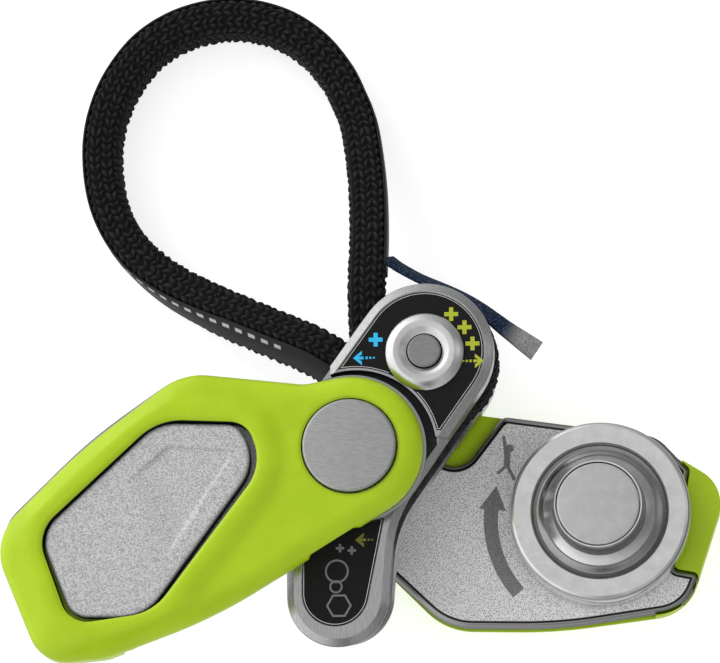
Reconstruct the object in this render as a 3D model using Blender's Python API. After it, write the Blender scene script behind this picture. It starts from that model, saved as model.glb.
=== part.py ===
"""Assisted-braking belay resistor, opened out flat on its back.

Two moulded and plated shells swing about one main pivot on either side of a double-cheeked arm. The rear
shell carries a turned rope drum, and the arm carries a textile sling on a pin. The frame is the main pivot:
+Z is its axis, from the resting plane up to the front of the object. Lengths are in millimetres until
they reach Blender, which gets metres.
"""
import math

import bmesh
import bpy
import numpy as np
from mathutils import Matrix, Vector

MM = 0.001

# Driving dimensions, mm and degrees
GAP = 0.3                    # running gap between neighbouring pieces
STACK = 41.4                 # overall thickness, from the rear cover's back to the front cover's face
COVER_T = 5.9                # moulded cover
PLATE_T = 3.0                # metal plate behind it
CHEEK_T = 2.7                # arm cheek at the hub and the nose
LIP_T = 3.9                  # how far the sling end of a cheek stands above its hub recess
FRONT_ANGLE = 206.0          # long axis of the front shell, as stored
REAR_ANGLE = -10.4           # long axis of the rear shell, as stored
HUB_R = 17.1                 # round end of a cover about the main pivot
DISC_R = 11.0                # head of the pivot bolt
SHANK_R = 5.0                # shank of the pivot bolt
PIN_AT = (17.4, 23.2)        # sling pin, from the main pivot
PIN_R = 4.0                  # sling pin: 8 mm
RING_R = 9.3                 # turned ring round the end of the sling pin
BUSH_R = 10.4                # sleeve that the sling bears on
DRUM_AT = (59.4, -2.6)       # drum axis in the rear shell's own frame
DRUM_R = 21.5                # drum flange
DRUM_FACE = 21.7             # height of the flange's face
DRUM_TOP = 31.9              # height of the hub's top
STRAP_T = 8.2                # sling thickness
STRAP_W = 11.0               # sling width, which stands upright
EYE_R = 16.6                 # outside of the sling's eye round the bush
EYE_SPAN = (-150, 120)       # angles that the eye covers
LUG_Z = 9.0                  # height of the solid end of the rear cover
FRONT_LUG_START = 69.0       # where the solid end begins along the front shell
REAR_LUG_START = 76.0        # the same along the rear shell
RECESS_R = 18.2              # hub recess in a cheek
INLAY_R = 19.6               # inner edge of the upper inlay, about the main pivot
UPPER_BORDER = 2.3           # bright border of the upper inlay
FRONT_STOP_Y = 2.8           # lower end of the raised part of the front cheek, where the front shell stops
REAR_STOP_Y = 4.5            # the same on the rear cheek
SLEEVE_R = 8.4               # pivot sleeve
PIN_TOP = 36.5               # front end of the sling pin
NOSE_PINS = [(-2.8, -24), (-3.1, -36)]
NOSE_PIN_R = 2.5
BOLT_R = 4.0                 # bolt that holds the drum
CAP_R = 10.2                 # sprung button in the drum's hub
CAP_Z = 28.6                 # underside of the button
SPRING_R = 4.6               # hub spring, to the middle of its wire
SPRING_Z = 19.0              # floor of the spring's pocket
SEAT_R = 13.0                # insert in the front plate

# Outlines as belts round discs: (x, y, radius), anticlockwise; a negative radius bends inwards.
# A shell's outlines are in its own frame, with X along its length; INLAY_FIELD is the lower inlay's.
FRONT_COVER = [(0, 0, HUB_R), (-0.2, -25.9, -7.9), (30.7, -18, 15.4), (26, 87.6, 120), (73.4, -9.4, 12.9),
               (77.7, 7.1, 9.6), (71.3, 11, 8.2), (45.9, -98.8, 120)]
REAR_COVER = [(0, 0, HUB_R), (-0.2, -25.9, -7.9), (31, -18.2, 16.1), (25.1, 86.1, 120), (72.8, -12.3, 11.8),
              (77.7, 4.3, 9.2), (64.5, 10.2, 8.6), (45, -101.5, 120)]
PLATE = [(0, 0, 17.8), (-0.4, -26.4, -8.4), (31, -18.2, 15.6), (25.1, 86.1, 119.5), (74.3, -13.1, 9.8),
         (83.05, -13, 1.25), (79.6, -10.5, -1.2), (76.6, 12.1, 1.3), (66.3, 11.2, 8.2)]
FRONT_NOTCH = [(35.5, 15.6, 2.2), (22.6, 8.6, -6.2)]
REAR_NOTCH = [(33, 16, 2.2), (21.3, 9.7, -5.4)]
WINDOW = [(25.5, -12.5, 6), (39.2, -10.3, 14.5), (67, -7.9, 8.7), (70.3, 4.1, 6.6), (59.6, 1.2, 12.7),
          (30.8, -11.9, 11.2)]
PAD = [(25.5, -14.1, 3.9), (39.3, -13.7, 10.7), (67, -8.2, 7.8), (70.2, 3.8, 5.4), (60.9, 2.5, 10.8),
       (31.6, -12.5, 10.1)]
FRONT_ARM = [(0, 0, 16), (-3.5, -34.1, 12.1), (36, -25, -26.6), (17.3, 23.5, 16.4)]
REAR_ARM = [(0, 0, 15.6), (-3.3, -31.8, 11.7), (36, -25, -27), (17.4, 22.9, 15.6)]
INLAY_FIELD = [(-4.1, -33.5, 7.8), (-2, -12, 9.9)]
NOSE = [(-2.6, -21.5, 10.4), (-3.1, -32.6, 10.4)]

# Route of the sling's middle line, from inside the arm, round the loop and back: (x, y, z)
SLING_ROUTE = [(2.9, 29.5, 20.7), (2.6, 36, 20.3), (2.4, 43.3, 19), (2.5, 56.6, 15.5), (1.7, 70.2, 11.5),
               (-0.4, 84.1, 8), (-2.8, 90.9, 7), (-6.2, 97.8, 6.2), (-12.3, 105.2, 5.8), (-20.8, 110.6, 5.6),
               (-31.5, 112.9, 5.6), (-42.5, 111.2, 5.6), (-51.7, 106.2, 5.6), (-58, 98.8, 5.6),
               (-61.9, 90.5, 5.6), (-63.6, 81.2, 5.6), (-62.8, 70.6, 5.8), (-59.9, 61.8, 6.5),
               (-54.7, 54, 7.4), (-46, 46.1, 9.2), (-35, 39.2, 12.4), (-22.9, 33, 16), (-11, 27.2, 19.2),
               (-4.4, 23, 20.5), (1.0, 19.8, 20.7)]
TAB_ROUTE = [(7.2, 49.3, 19.6), (10.5, 46.7, 20.6), (15.4, 43.8, 21.3), (20.5, 41.5, 21.4), (25.5, 39, 21.1),
             (30.4, 35.8, 20.7), (35.5, 31.7, 20.2), (40, 28.4, 19.4), (43.2, 26.1, 18.6)]
TAB_LEAN = [0, 4, 10, 14, 18, 30, 52]     # degrees that the label tab leans over, along its route

GREEN = ((0.42, 0.62, 0.02), 0.3, 0.0)
STEEL = ((0.62, 0.62, 0.63), 0.35, 1.0)
BLASTED = ((0.55, 0.55, 0.55), 0.65, 0.8)
BLACK = ((0.02, 0.02, 0.022), 0.5, 0.0)
FABRIC = ((0.015, 0.015, 0.017), 0.9, 0.0)
NAVY = ((0.02, 0.035, 0.08), 0.8, 0.0)
BRONZE = ((0.5, 0.36, 0.16), 0.4, 1.0)


def clear_scene():
    """Remove whatever the start-up file holds."""
    for obj in list(bpy.data.objects):
        bpy.data.objects.remove(obj, do_unlink=True)


def material(name, look):
    """A Principled material of this piece's own."""
    colour, roughness, metallic = look
    mat = bpy.data.materials.new(name)
    mat.use_nodes = True
    shader = mat.node_tree.nodes["Principled BSDF"]
    shader.inputs["Base Color"].default_value = (*colour, 1.0)
    shader.inputs["Roughness"].default_value = roughness
    shader.inputs["Metallic"].default_value = metallic
    mat.diffuse_color = (*colour, 1.0)
    return mat


def belt(discs, inset=0.0, step=18.0):
    """Points of the belt that runs round these discs, shrunk by inset."""
    discs = [(x, y, r - inset) for x, y, r in discs]
    count = len(discs)
    headings = []
    for i, (x, y, r) in enumerate(discs):
        nx, ny, nr = discs[(i + 1) % count]
        reach = math.hypot(nx - x, ny - y)
        headings.append(math.atan2(ny - y, nx - x) - math.asin((nr - r) / reach))
    points = []
    for i, (x, y, r) in enumerate(discs):
        start = headings[i - 1]
        turn = (headings[i] - start) % (2 * math.pi)
        if r < 0:
            turn -= 2 * math.pi
        steps = max(1, round(abs(math.degrees(turn)) / step))
        for k in range(steps + 1):
            heading = start + turn * k / steps
            points.append((x + r * math.sin(heading), y - r * math.cos(heading)))
    return points


def finish_object(name, bm, look, parent=None, at=(0, 0), smooth=True):
    """Turn a bmesh in mm into a named object with its own material."""
    bmesh.ops.remove_doubles(bm, verts=bm.verts, dist=0.001)
    bmesh.ops.recalc_face_normals(bm, faces=bm.faces)
    bmesh.ops.scale(bm, vec=(MM, MM, MM), verts=bm.verts)
    mesh = bpy.data.meshes.new(name)
    bm.to_mesh(mesh)
    bm.free()
    obj = bpy.data.objects.new(name, mesh)
    bpy.context.scene.collection.objects.link(obj)
    obj.location = (at[0] * MM, at[1] * MM, 0)
    obj.parent = parent
    if look is None:
        obj.hide_render = True
        obj.display_type = 'WIRE'
        return obj
    mesh.materials.append(material(name, look))
    if smooth:
        mesh.shade_smooth()
        mesh.set_sharp_from_angle(angle=math.radians(35))
    return obj


def axis_empty(name, angle):
    """An empty on the main pivot, turned to a shell's own frame."""
    empty = bpy.data.objects.new(name, None)
    empty.rotation_euler = (0, 0, math.radians(angle))
    bpy.context.scene.collection.objects.link(empty)
    return empty


def loft(name, discs, levels, look, parent=None):
    """A closed stack of insets of one outline; levels are (inset, z), from the bottom up."""
    bm = bmesh.new()
    rings = [[bm.verts.new((x, y, z)) for x, y in belt(discs, inset)] for inset, z in levels]
    for low, high in zip(rings, rings[1:]):
        for i, vert in enumerate(low):
            j = (i + 1) % len(low)
            bm.faces.new((vert, low[j], high[j], high[i]))
    bm.faces.new(rings[0])
    bm.faces.new(rings[-1])
    return finish_object(name, bm, look, parent)


def turned(name, profile, look, parent=None, at=(0, 0), sides=28):
    """A turned ring or disc: a closed profile of (radius, z); points at radius 0 are joined."""
    bm = bmesh.new()
    rings = []
    for radius, z in profile:
        if radius == 0:
            rings.append([bm.verts.new((0, 0, z))] * sides)
            continue
        angles = [2 * math.pi * k / sides for k in range(sides)]
        rings.append([bm.verts.new((radius * math.cos(a), radius * math.sin(a), z)) for a in angles])
    closed = rings if profile[0][0] == 0 else rings + rings[:1]
    for low, high in zip(closed, closed[1:]):
        for i in range(sides):
            j = (i + 1) % sides
            corners = []
            for vert in (low[i], low[j], high[j], high[i]):
                if vert not in corners:
                    corners.append(vert)
            if len(corners) > 2:
                bm.faces.new(corners)
    return finish_object(name, bm, look, parent, at)


def rod_profile(radius, low, high, chamfer=0.0):
    """Profile of a plain rod or disc, chamfered at both ends."""
    return [(0, low), (radius - chamfer, low), (radius, low + chamfer),
            (radius, high - chamfer), (radius - chamfer, high), (0, high)]


def tube_profile(inner, outer, low, high, chamfer=0.0):
    """Profile of a plain ring, chamfered on its outer edges."""
    return [(inner, low), (outer - chamfer, low), (outer, low + chamfer),
            (outer, high - chamfer), (outer - chamfer, high), (inner, high)]


def block(name, low, high, parent=None):
    """A box-shaped cutter between two corners."""
    bm = bmesh.new()
    bmesh.ops.create_cube(bm, size=1.0)
    size = Vector(high) - Vector(low)
    middle = (Vector(high) + Vector(low)) / 2
    bmesh.ops.transform(bm, matrix=Matrix.Translation(middle) @ Matrix.Diagonal((*size, 1)), verts=bm.verts)
    return finish_object(name, bm, None, parent, smooth=False)


def boolean(obj, cutter, operation='DIFFERENCE'):
    """Cut one object with another, or join them."""
    modifier = obj.modifiers.new(operation.title(), 'BOOLEAN')
    modifier.operation = operation
    modifier.solver = 'EXACT'
    modifier.object = cutter


def bore(obj, radius, low, high, parent=None, at=(0, 0), sides=28):
    """Cut a round hole along Z."""
    profile = [(0, low), (radius, low), (radius, high), (0, high)]
    boolean(obj, turned(obj.name + "_bore", profile, None, parent, at, sides))


def smooth_route(points, spacing):
    """Points at even spacing on the smooth curve through these points."""
    pts = [np.array(p, float) for p in points]
    pts = [2 * pts[0] - pts[1]] + pts + [2 * pts[-1] - pts[-2]]
    fine = []
    for before, start, end, after in zip(pts, pts[1:], pts[2:], pts[3:]):
        for t in np.linspace(0, 1, 24, endpoint=False):
            bend = 2 * before - 5 * start + 4 * end - after
            twist = 3 * start - before - 3 * end + after
            fine.append(0.5 * (2 * start + (end - before) * t + bend * t**2 + twist * t**3))
    fine.append(pts[-2])
    fine = np.array(fine)
    along = np.concatenate([[0], np.cumsum(np.linalg.norm(np.diff(fine, axis=0), axis=1))])
    stations = np.linspace(0, along[-1], max(2, round(along[-1] / spacing) + 1))
    return np.stack([np.interp(stations, along, fine[:, k]) for k in range(fine.shape[1])], axis=1)


def rounded_section(thickness, width, radius):
    """A rounded rectangle as (across, up) pairs."""
    out = []
    for cx, cy, start in ((1, 1, 0), (-1, 1, 90), (-1, -1, 180), (1, -1, 270)):
        for angle in (start, start + 45, start + 90):
            a = math.radians(angle)
            out.append((cx * (thickness / 2 - radius) + radius * math.cos(a),
                        cy * (width / 2 - radius) + radius * math.sin(a)))
    return out


def swept(name, route, section, look, lean=None):
    """A strap: the section swept along the route with its width upright, leaning by lean degrees."""
    bm = bmesh.new()
    rings = []
    for i, point in enumerate(route):
        ahead = Vector(route[min(i + 1, len(route) - 1)] - route[max(i - 1, 0)]).normalized()
        across = ahead.cross(Vector((0, 0, 1))).normalized()
        upright = across.cross(ahead).normalized()
        turn = Matrix.Rotation(math.radians(lean[i]) if lean is not None else 0.0, 3, ahead)
        rings.append([bm.verts.new(Vector(point) + turn @ (across * a + upright * u)) for a, u in section])
    for low, high in zip(rings, rings[1:]):
        for i in range(len(section)):
            j = (i + 1) % len(section)
            bm.faces.new((low[i], low[j], high[j], high[i]))
    bm.faces.new(rings[0])
    bm.faces.new(rings[-1])
    return finish_object(name, bm, look)


def front_z(z):
    """Heights of the front half as they are."""
    return z


def rear_z(z):
    """Heights of the rear half: the front half seen in a mirror."""
    return STACK - z


def flipped(levels, height):
    """Levels with their heights put through height(), from the bottom up."""
    return sorted(((inset, height(z)) for inset, z in levels), key=lambda level: level[1])


def build_shell(side, height, outline, notch, lug_start, frame):
    """One shell: its moulded cover, its metal plate and the pad in the cover's window."""
    cover_low = STACK - COVER_T
    plate_high = cover_low - GAP
    plate_low = plate_high - PLATE_T
    dome = [(0.5, cover_low), (0.0, cover_low + 0.6), (0.0, STACK - 2.6), (0.35, STACK - 1.5),
            (1.1, STACK - 0.6), (2.3, STACK)]
    plate_outline = PLATE + notch
    cover = loft(side + "_cover", outline, flipped(dome, height), GREEN, frame)
    # The end of the sling pin passes under the cover's edge as the shells close.
    reach = math.hypot(*PIN_AT)
    swings = [math.atan2(PIN_AT[1], PIN_AT[0]) + math.radians(swing - REAR_ANGLE) for swing in (0, 6, 12)]
    path = [(reach * math.cos(a), reach * math.sin(a), RING_R + 0.7) for a in swings]
    relief = flipped([(0, cover_low - 1), (0, cover_low + 2.4)], height)
    boolean(cover, loft(side + "_pin_relief", path, relief, None, frame))

    # Past the end of the plate the cover stands up level with it.
    lug_z = STACK - LUG_Z
    lug_wall = flipped([(0.7, lug_z), (0.2, lug_z + 0.5), (0.2, cover_low + 2)], height)
    lug = loft(side + "_lug", outline, lug_wall, None, frame)
    low, high = sorted((height(lug_z - 1), height(cover_low + 1.5)))
    lug_end = block(side + "_lug_end", (lug_start, -40, low), (100, 40, high), frame)
    boolean(lug, lug_end, 'INTERSECT')
    plate_gap = flipped([(-GAP, lug_z - 2), (-GAP, cover_low)], height)
    boolean(lug, loft(side + "_plate_gap", plate_outline, plate_gap, None, frame))
    boolean(cover, lug, 'UNION')
    through = flipped([(0, cover_low - 1), (0, STACK + 1)], height)
    boolean(cover, loft(side + "_window", WINDOW, through, None, frame))
    bore(cover, DISC_R + 0.45, -1, STACK + 1, frame, (0, 0), 40)

    rim = [(0.9, plate_low), (0.0, plate_low + 0.9), (0.0, plate_high)]
    plate = loft(side + "_plate", plate_outline, flipped(rim, height), BLASTED, frame)
    bore(plate, SHANK_R + 0.4, -1, STACK + 1, frame)

    face = [(0, cover_low), (0, STACK - 1.9), (0.5, STACK - 1.4)]
    pad = loft(side + "_pad", PAD, flipped(face, height), BLASTED, frame)
    return cover, plate, pad


def build_cheek(side, height, outline, stop_y):
    """One cheek of the arm with its two dark inlays."""
    top = STACK - COVER_T - 0.5
    floor = top - LIP_T
    inner = floor - CHEEK_T
    rim = [(0.6, inner), (0.0, inner + 0.6), (0.0, top - 0.7), (0.7, top)]
    cheek = loft("arm_" + side + "_cheek", outline, flipped(rim, height), STEEL)
    low, high = sorted((height(floor), height(top + 2)))
    bore(cheek, RECESS_R, low, high, None, (0, 0), 48)
    boolean(cheek, block(side + "_nose_step", (-40, -60, low), (40, stop_y, high)))
    boolean(cheek, block(side + "_stop_step", (-40, -10, low), (-5, 40, high)))
    bore(cheek, SLEEVE_R + GAP, -1, STACK + 1)
    bore(cheek, PIN_R + GAP, -1, STACK + 1, None, PIN_AT)
    for x, y in NOSE_PINS:
        bore(cheek, NOSE_PIN_R + GAP, -1, STACK + 1, None, (x, y), 16)

    fields = (("upper", top, outline, UPPER_BORDER), ("lower", floor, INLAY_FIELD, 0.0))
    for place, face, shape, border in fields:
        name = side + "_inlay_" + place
        sunk = flipped([(border, face - 0.8), (border, face + 1)], height)
        pocket = loft(name + "_pocket", shape, sunk, None)
        skin = flipped([(border + GAP, face - 0.5), (border + GAP, face - 0.1)], height)
        inlay = loft(name, shape, skin, BLACK)
        low, high = sorted((height(face - 2), height(face + 2)))
        for piece, gap in ((pocket, 0.0), (inlay, GAP)):
            bore(piece, INLAY_R + gap, low, high, None, (0, 0), 48)
            if place == "upper":
                keep = (-40, stop_y + 1.5, low), (40, 60, high)
                bore(piece, RING_R + 0.2 + gap, low, high, None, PIN_AT)
            else:
                keep = (-40, -60, low), (40, -10, high)
            boolean(piece, block(piece.name + "_half", *keep), 'INTERSECT')
        boolean(cheek, pocket)
    return cheek


def build_arm():
    """The root: the two cheeks, the nose between them, the sling pin and the main pivot."""
    floor = STACK - COVER_T - 0.5 - LIP_T
    inner = floor - CHEEK_T
    build_cheek("front", front_z, FRONT_ARM, FRONT_STOP_Y)
    build_cheek("rear", rear_z, REAR_ARM, REAR_STOP_Y)
    nose_wall = [(0.5, rear_z(inner) + GAP), (0, rear_z(inner) + GAP + 0.5),
                 (0, inner - GAP - 0.5), (0.5, inner - GAP)]
    nose = loft("arm_nose_block", NOSE, nose_wall, STEEL)
    for index, (x, y) in enumerate(NOSE_PINS, 1):
        bore(nose, NOSE_PIN_R + GAP, -1, STACK + 1, None, (x, y), 16)
        pin = rod_profile(NOSE_PIN_R, rear_z(floor) + 1.2, floor - 1.2)
        turned("nose_pin_%d" % index, pin, STEEL, None, (x, y), 16)

    turned("sling_pin", rod_profile(PIN_R, rear_z(PIN_TOP), PIN_TOP, 0.3), STEEL, None, PIN_AT, 24)
    bush = tube_profile(PIN_R + GAP, BUSH_R, rear_z(inner) + GAP, inner - GAP, 0.5)
    turned("sling_bush", bush, BRONZE, None, PIN_AT, 36)
    base = STACK - COVER_T - 0.2
    ring = [(PIN_R + 0.9, base), (RING_R - 0.4, base), (RING_R, base + 0.4), (RING_R - 1.9, base + 1.7),
            (RING_R - 2.4, base + 1.7), (PIN_R + 1.7, base + 1.1), (PIN_R + 0.9, base + 1.1)]
    turned("pin_ring_front", ring, STEEL, None, PIN_AT, 36)
    turned("pin_ring_rear", [(r, rear_z(z)) for r, z in ring], STEEL, None, PIN_AT, 36)

    turned("pivot_sleeve", tube_profile(SHANK_R + GAP, SLEEVE_R, rear_z(floor), floor), BRONZE)
    plate_low = STACK - COVER_T - GAP - PLATE_T
    washer = tube_profile(SHANK_R + GAP, 15.0, floor + GAP, plate_low - GAP)
    turned("thrust_washer_front", washer, BRONZE)
    turned("thrust_washer_rear", [(r, rear_z(z)) for r, z in washer], BRONZE)

    head = STACK - 0.2
    bolt = [(0, 2.2), (SHANK_R, 2.2), (SHANK_R, head - 1.8), (DISC_R, head - 1.8), (DISC_R, head - 0.3),
            (DISC_R - 0.4, head), (0, head)]
    turned("pivot_bolt", bolt, STEEL, None, (0, 0), 40)
    cap = [(0, 0), (DISC_R - 0.4, 0), (DISC_R, 0.3), (DISC_R, 1.8), (0, 1.8)]
    turned("pivot_cap_rear", cap, STEEL, None, (0, 0), 40)
    spacer = tube_profile(SHANK_R + GAP, 9.6, STACK - COVER_T, head - 2.9)
    turned("hub_spacer_front", spacer, STEEL)
    turned("hub_spacer_rear", [(r, rear_z(z)) for r, z in spacer], STEEL)
    turned("wave_washer_front", tube_profile(SHANK_R + GAP, 9.2, head - 2.6, head - 2.1), STEEL)
    lock = tube_profile(SHANK_R + GAP, 9.2, rear_z(head) + 2.1, rear_z(head) + 2.6)
    turned("lock_washer_rear", lock, STEEL)


def build_sling():
    """The sling's free loop, its eye round the bush, and the label tab sewn to it."""
    section = rounded_section(STRAP_T, STRAP_W, 3.0)
    swept("sling_loop", smooth_route(SLING_ROUTE, 6.0), section, FABRIC)
    middle = (BUSH_R + GAP + EYE_R) / 2
    angles = [math.radians(a) for a in np.linspace(EYE_SPAN[0], EYE_SPAN[1], 20)]
    eye = np.array([(PIN_AT[0] + middle * math.cos(a), PIN_AT[1] + middle * math.sin(a), STACK / 2)
                    for a in angles])
    swept("sling_eye", eye, rounded_section(EYE_R - BUSH_R - GAP, STRAP_W, 2.2), FABRIC)
    route = smooth_route(TAB_ROUTE, 4.0)
    lean = np.interp(np.linspace(0, 1, len(route)), np.linspace(0, 1, len(TAB_LEAN)), TAB_LEAN)
    swept("label_tab", route, rounded_section(1.0, 4.8, 0.4), NAVY, lean)


def build_drum(frame):
    """The rope drum on the rear plate, with its bolt, washer and sprung hub button."""
    plate_high = rear_z(STACK - COVER_T - GAP - PLATE_T)
    base = plate_high + 1.0
    washer = tube_profile(BOLT_R + GAP, 19.0, plate_high + GAP, base - GAP)
    turned("drum_washer", washer, STEEL, frame, DRUM_AT)
    flange = [(BOLT_R + GAP, base), (DRUM_R - 0.5, base), (DRUM_R, base + 0.5), (DRUM_R, DRUM_FACE - 0.5),
              (DRUM_R - 0.5, DRUM_FACE), (16.3, DRUM_FACE), (15.6, DRUM_FACE - 0.8), (14.9, DRUM_FACE - 0.4)]
    hub = [(13.4, DRUM_FACE + 3.4), (12.4, DRUM_FACE + 4.2), (11.6, DRUM_FACE + 6.0), (11.6, DRUM_TOP - 0.9),
           (10.9, DRUM_TOP - 0.2), (CAP_R + GAP, DRUM_TOP - 0.2)]
    pocket = [(CAP_R + GAP, CAP_Z - 2.0), (SPRING_R + 0.6, CAP_Z - 2.0), (SPRING_R + 0.6, SPRING_Z),
              (BOLT_R + GAP, SPRING_Z)]
    turned("rope_drum", flange + hub + pocket, STEEL, frame, DRUM_AT, 44)
    button = [(0, CAP_Z), (CAP_R, CAP_Z), (CAP_R, DRUM_TOP - 0.5), (CAP_R - 0.5, DRUM_TOP), (0, DRUM_TOP)]
    turned("hub_button", button, STEEL, frame, DRUM_AT, 36)
    turns = 3.5
    angles = np.linspace(0, 2 * math.pi * turns, 36)
    heights = np.linspace(SPRING_Z + 0.8, CAP_Z - 0.8, len(angles))
    coil = [(SPRING_R * math.cos(a) + DRUM_AT[0], SPRING_R * math.sin(a) + DRUM_AT[1], z)
            for a, z in zip(angles, heights)]
    wire = [(0.4 * math.cos(a), 0.4 * math.sin(a)) for a in np.linspace(0, 2 * math.pi, 5, endpoint=False)]
    spring = swept("hub_spring", np.array(coil), wire, STEEL)
    spring.parent = frame
    bolt = [(0, 3.3), (6.0, 3.3), (6.5, 3.8), (6.5, 5.9), (BOLT_R, 5.9), (BOLT_R, SPRING_Z - GAP),
            (0, SPRING_Z - GAP)]
    turned("drum_bolt", bolt, STEEL, frame, DRUM_AT)


def main():
    clear_scene()
    front = axis_empty("front_shell_axis", FRONT_ANGLE)
    rear = axis_empty("rear_shell_axis", REAR_ANGLE)
    _, front_plate, _ = build_shell("front", front_z, FRONT_COVER, FRONT_NOTCH, FRONT_LUG_START, front)
    _, rear_plate, rear_pad = build_shell("rear", rear_z, REAR_COVER, REAR_NOTCH, REAR_LUG_START, rear)
    build_arm()
    build_sling()
    build_drum(rear)

    # The drum's bolt runs through the rear plate, with its head in a pocket of the pad.
    bore(rear_plate, BOLT_R + GAP, 0, STACK, rear, DRUM_AT)
    bore(rear_pad, 7.0, 2.9, STACK, rear, DRUM_AT)
    # The hub button seats in a steel insert in the front plate.
    plate_high = STACK - COVER_T - GAP
    bore(front_plate, SEAT_R + GAP, 0, STACK + 1, front, DRUM_AT)
    plate_low = plate_high - PLATE_T
    seat = [(0, plate_low + 1.2), (CAP_R + 0.5, plate_low + 1.2), (CAP_R + 0.9, plate_low),
            (SEAT_R, plate_low), (SEAT_R, plate_high), (0, plate_high)]
    turned("front_hub_seat", seat, STEEL, front, DRUM_AT)


main()
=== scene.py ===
import math

import bmesh
import bpy
import numpy as np
from mathutils import Matrix, Vector
from mathutils.geometry import delaunay_2d_cdt


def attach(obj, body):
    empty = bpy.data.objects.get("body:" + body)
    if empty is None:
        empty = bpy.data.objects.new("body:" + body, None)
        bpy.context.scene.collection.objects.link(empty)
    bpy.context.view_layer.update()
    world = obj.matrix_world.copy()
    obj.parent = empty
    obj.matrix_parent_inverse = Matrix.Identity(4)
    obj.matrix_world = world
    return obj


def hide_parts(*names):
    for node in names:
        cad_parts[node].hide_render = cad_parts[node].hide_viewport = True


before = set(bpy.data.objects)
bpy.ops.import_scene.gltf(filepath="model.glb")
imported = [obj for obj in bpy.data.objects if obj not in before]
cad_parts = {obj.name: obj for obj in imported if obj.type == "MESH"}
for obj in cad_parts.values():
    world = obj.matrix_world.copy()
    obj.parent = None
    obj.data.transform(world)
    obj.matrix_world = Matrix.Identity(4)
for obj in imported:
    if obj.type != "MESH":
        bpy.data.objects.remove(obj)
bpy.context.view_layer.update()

MM = 0.001
STACK = 41.4                 # whole thickness
COVER_LOW = 35.5             # inner face of the front cover
PLATE_HIGH = 35.2            # the front metal plate
PLATE_LOW = 32.2
LUG_LOW = 32.4               # solid end of a cover
FRONT_ANGLE = 206.0
REAR_ANGLE = -10.4
HUB_R = 17.1
DISC_R = 11.0                # head of the pivot bolt
PIN_AT = (17.4, 23.2)
PIN_R = 4.0
RING_R = 9.3
BUSH_R = 10.4
EYE_R = 16.6
EYE_SPAN = (-150, 120)
DRUM_AT = (59.4, -2.6)       # in a shell's own frame
DRUM_R = 21.5
DRUM_FACE = 21.7
DRUM_TOP = 31.9
CAP_R = 10.2
CAP_Z = 28.6
SEAT_R = 13.0
RECESS_AT = (0.9, -0.3)
RECESS_R = 19.3
INLAY_R = 19.9               # inner edge of the upper inlay
UPPER_BORDER = 2.3
SLEEVE_R = 8.4
CHEEK_TOP = 35.0             # raised part of the front cheek
CHEEK_FLOOR = 31.1
CHEEK_INNER = 28.4
STRAP_T = 8.2
STRAP_W = 11.0
NOSE_PINS = [(-2.8, -24), (-3.1, -36)]
NOSE_PIN_R = 2.8             # holes for them
PLATE_BORE = 5.4             # hole for the pivot in a metal plate
DISC_GAP = 0.45              # round the head of the pivot bolt
FRONT_LUG_START = 69.0       # where a cover's solid end begins
REAR_LUG_START = 76.0
FRONT_STOP_Y = 2.8           # lower edge of a cheek's raised part
REAR_STOP_Y = 4.5
INLAY_SINK = 0.15            # of the inlays below the metal
PAD_GROWTH = 0.25            # of the pads over the CAD ones
PAD_FACE = 40.0
LEDGE_BLEND = 0.35           # half width of the slope at its step
PIN_END = 36.5
CLEARANCE = 0.3              # round the turned pieces
ARROW_SPAN = (174.2, 221.2)  # degrees about the drum
TAPE_RUN = slice(17, -4)     # of the sling's route, in mm
SHADE_RING_SPAN = 25.0             # radius at which the painted shade ramp of the drum ends
CAMERA_DISTANCE = 1200.0

FRONT_COVER = [(0, 0, HUB_R), (-0.2, -25.9, -7.9), (30.7, -18, 15.4), (26, 87.6, 120), (73.4, -9.4, 12.9),
               (77.7, 7.1, 9.6), (71.3, 11, 8.2), (45.9, -98.8, 120)]
REAR_COVER = [(0, 0, HUB_R), (-0.2, -25.9, -7.9), (31, -18.2, 16.1), (25.1, 86.1, 120), (72.8, -12.3, 11.8),
              (77.7, 4.3, 9.2), (64.5, 10.2, 8.6), (45, -101.5, 120)]
PLATE = [(0, 0, 17.8), (-0.4, -26.4, -8.4), (31, -18.2, 15.6), (25.1, 86.1, 119.5), (74.3, -13.1, 9.8),
         (83.05, -13, 1.25), (79.6, -10.5, -1.2), (76.6, 12.1, 1.3), (66.3, 11.2, 8.2)]
FRONT_NOTCH = [(35.5, 15.6, 2.2), (22.6, 8.6, -6.2)]
REAR_NOTCH = [(33, 16, 2.2), (21.3, 9.7, -5.4)]
WINDOW = [(25.5, -12.5, 6), (39.2, -10.3, 14.5), (67, -7.9, 8.7), (70.3, 4.1, 6.6), (59.6, 1.2, 12.7),
          (30.8, -11.9, 11.2)]
PAD = [(25.5, -14.1, 3.9), (39.3, -13.7, 10.7), (67, -8.2, 7.8), (70.2, 3.8, 5.4), (60.9, 2.5, 10.8),
       (31.6, -12.5, 10.1)]
LEDGE = [(27.6, -11.2, 1.4), (38.6, -17.2, 1.9), (70, -8.5, 2), (70, 3, 2), (62, 9, 2)]   # step in a pad
FRONT_ARM = [(0, 0, 16), (-3.5, -34.1, 12.1), (36, -25, -26.6), (17.3, 23.5, 16.4)]
REAR_ARM = [(0, 0, 15.6), (-3.3, -31.8, 11.7), (36, -25, -27), (17.4, 22.9, 15.6)]
INLAY_FIELD = [(-4.1, -33.5, 7.8), (-2, -12, 9.9)]
NOSE = [(-2.6, -21.5, 10.4), (-3.1, -32.6, 10.4)]
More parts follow.
